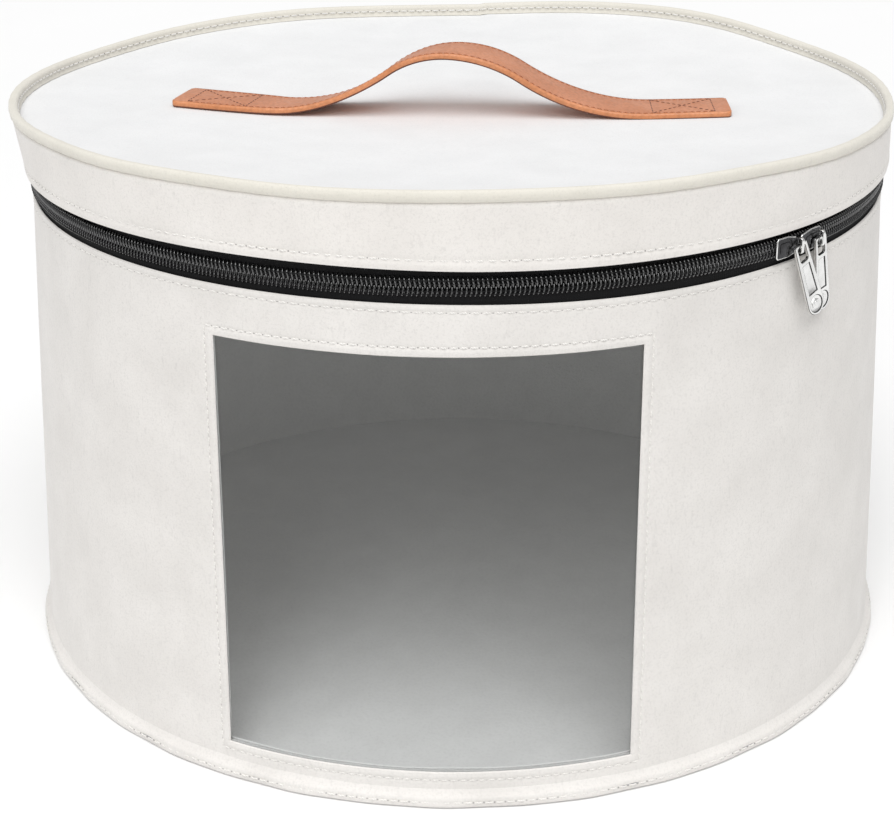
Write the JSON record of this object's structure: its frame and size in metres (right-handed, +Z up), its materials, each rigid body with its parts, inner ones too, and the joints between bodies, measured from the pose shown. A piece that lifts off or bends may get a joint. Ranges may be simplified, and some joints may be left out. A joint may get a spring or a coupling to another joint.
{
  "type": "hat box",
  "caption": "Round soft-sided hat box with a zipped hinging lid, a see-through front window and a strap handle on top.",
  "frame": {"origin": "centre of the underside, on the floor", "axes": "+Z up; the window faces -Y and the fabric hinge is at +Y; +X is to the right seen from the front"},
  "size_m": [0.4486, 0.4485, 0.2962],
  "materials": {
    "cover_felt": "matt pressed felt, warm off-white",
    "lid_felt": "matt pressed felt, cool white",
    "edge_tape": "matt folded tape, ivory",
    "lining_cloth": "thin matt non-woven cloth",
    "board": "matt stiff polyethylene sheet",
    "hoop_wire": "plain drawn spring wire",
    "clear_sheet": "clear glossy flexible sheet",
    "zip_tape": "black woven tape",
    "zip_coil": "black nylon coil, soft gloss",
    "zip_stop": "dark crimped metal",
    "slider_metal": "dark nickel",
    "pull_metal": "bright nickel",
    "strap_leather": "tan, semi-gloss, painted dark edges"
  },
  "bodies": {
    "box": {"base_board": "board", "base_cover": "cover_felt", "base_hoop": "hoop_wire", "base_lining": "lining_cloth", "base_seam_binding": "edge_tape", "lower_hinge_strip": "cover_felt", "lower_zip_coil": "zip_coil", "lower_zip_tape": "zip_tape", "wall_cover": "cover_felt", "wall_lining": "lining_cloth", "wall_stiffener": "board", "window_pane": "clear_sheet", "window_seam_tape": "lining_cloth", "zip_stop_left": "zip_stop", "zip_stop_right": "zip_stop"},
    "lid": {"lid_top_cover": "lid_felt", "lid_board": "board", "lid_lining": "lining_cloth", "lid_band_cover": "cover_felt", "lid_band_stiffener": "board", "lid_band_lining": "lining_cloth", "lid_rim_binding": "edge_tape", "lid_hoop": "hoop_wire", "upper_zip_tape": "zip_tape", "upper_zip_coil": "zip_coil", "upper_hinge_strip": "cover_felt", "handle_strap": "strap_leather", "handle_backing": "board"},
    "slider_left": {"slider_left": "slider_metal", "slider_left_bridge": "pull_metal"},
    "slider_right": {"slider_right": "slider_metal", "slider_right_bridge": "pull_metal"},
    "pull_left": {"pull_left": "pull_metal"},
    "pull_right": {"pull_right": "pull_metal"}
  },
  "joints": [
    {"name": "lid_hinge", "type": "hinge", "parent": "box", "child": "lid", "pos_m": [0, 0.213, 0.2421], "axis": [-1, 0, 0], "range_deg": [0, 170]},
    {"name": "slider_left_run", "type": "hinge", "parent": "box", "child": "slider_left", "pos_m": [0, 0, 0.2421], "axis": [0, 0, 1], "range_deg": [-198, 0]},
    {"name": "slider_right_run", "type": "hinge", "parent": "box", "child": "slider_right", "pos_m": [0, 0, 0.2421], "axis": [0, 0, 1], "range_deg": [0, 100]},
    {"name": "pull_left_lift", "type": "hinge", "parent": "slider_left", "child": "pull_left", "pos_m": [0.15818, -0.14602, 0.2421], "axis": [-0.6551, -0.6737, -0.342], "range_deg": [0, 120]},
    {"name": "pull_right_lift", "type": "hinge", "parent": "slider_right", "child": "pull_right", "pos_m": [0.16798, -0.13396, 0.2421], "axis": [-0.6304, -0.7566, -0.1736], "range_deg": [0, 120]}
  ],
  "couplings": [
    {"joint": "pull_left_lift", "follows": "pull_right_lift", "ratio": 1}
  ]
}
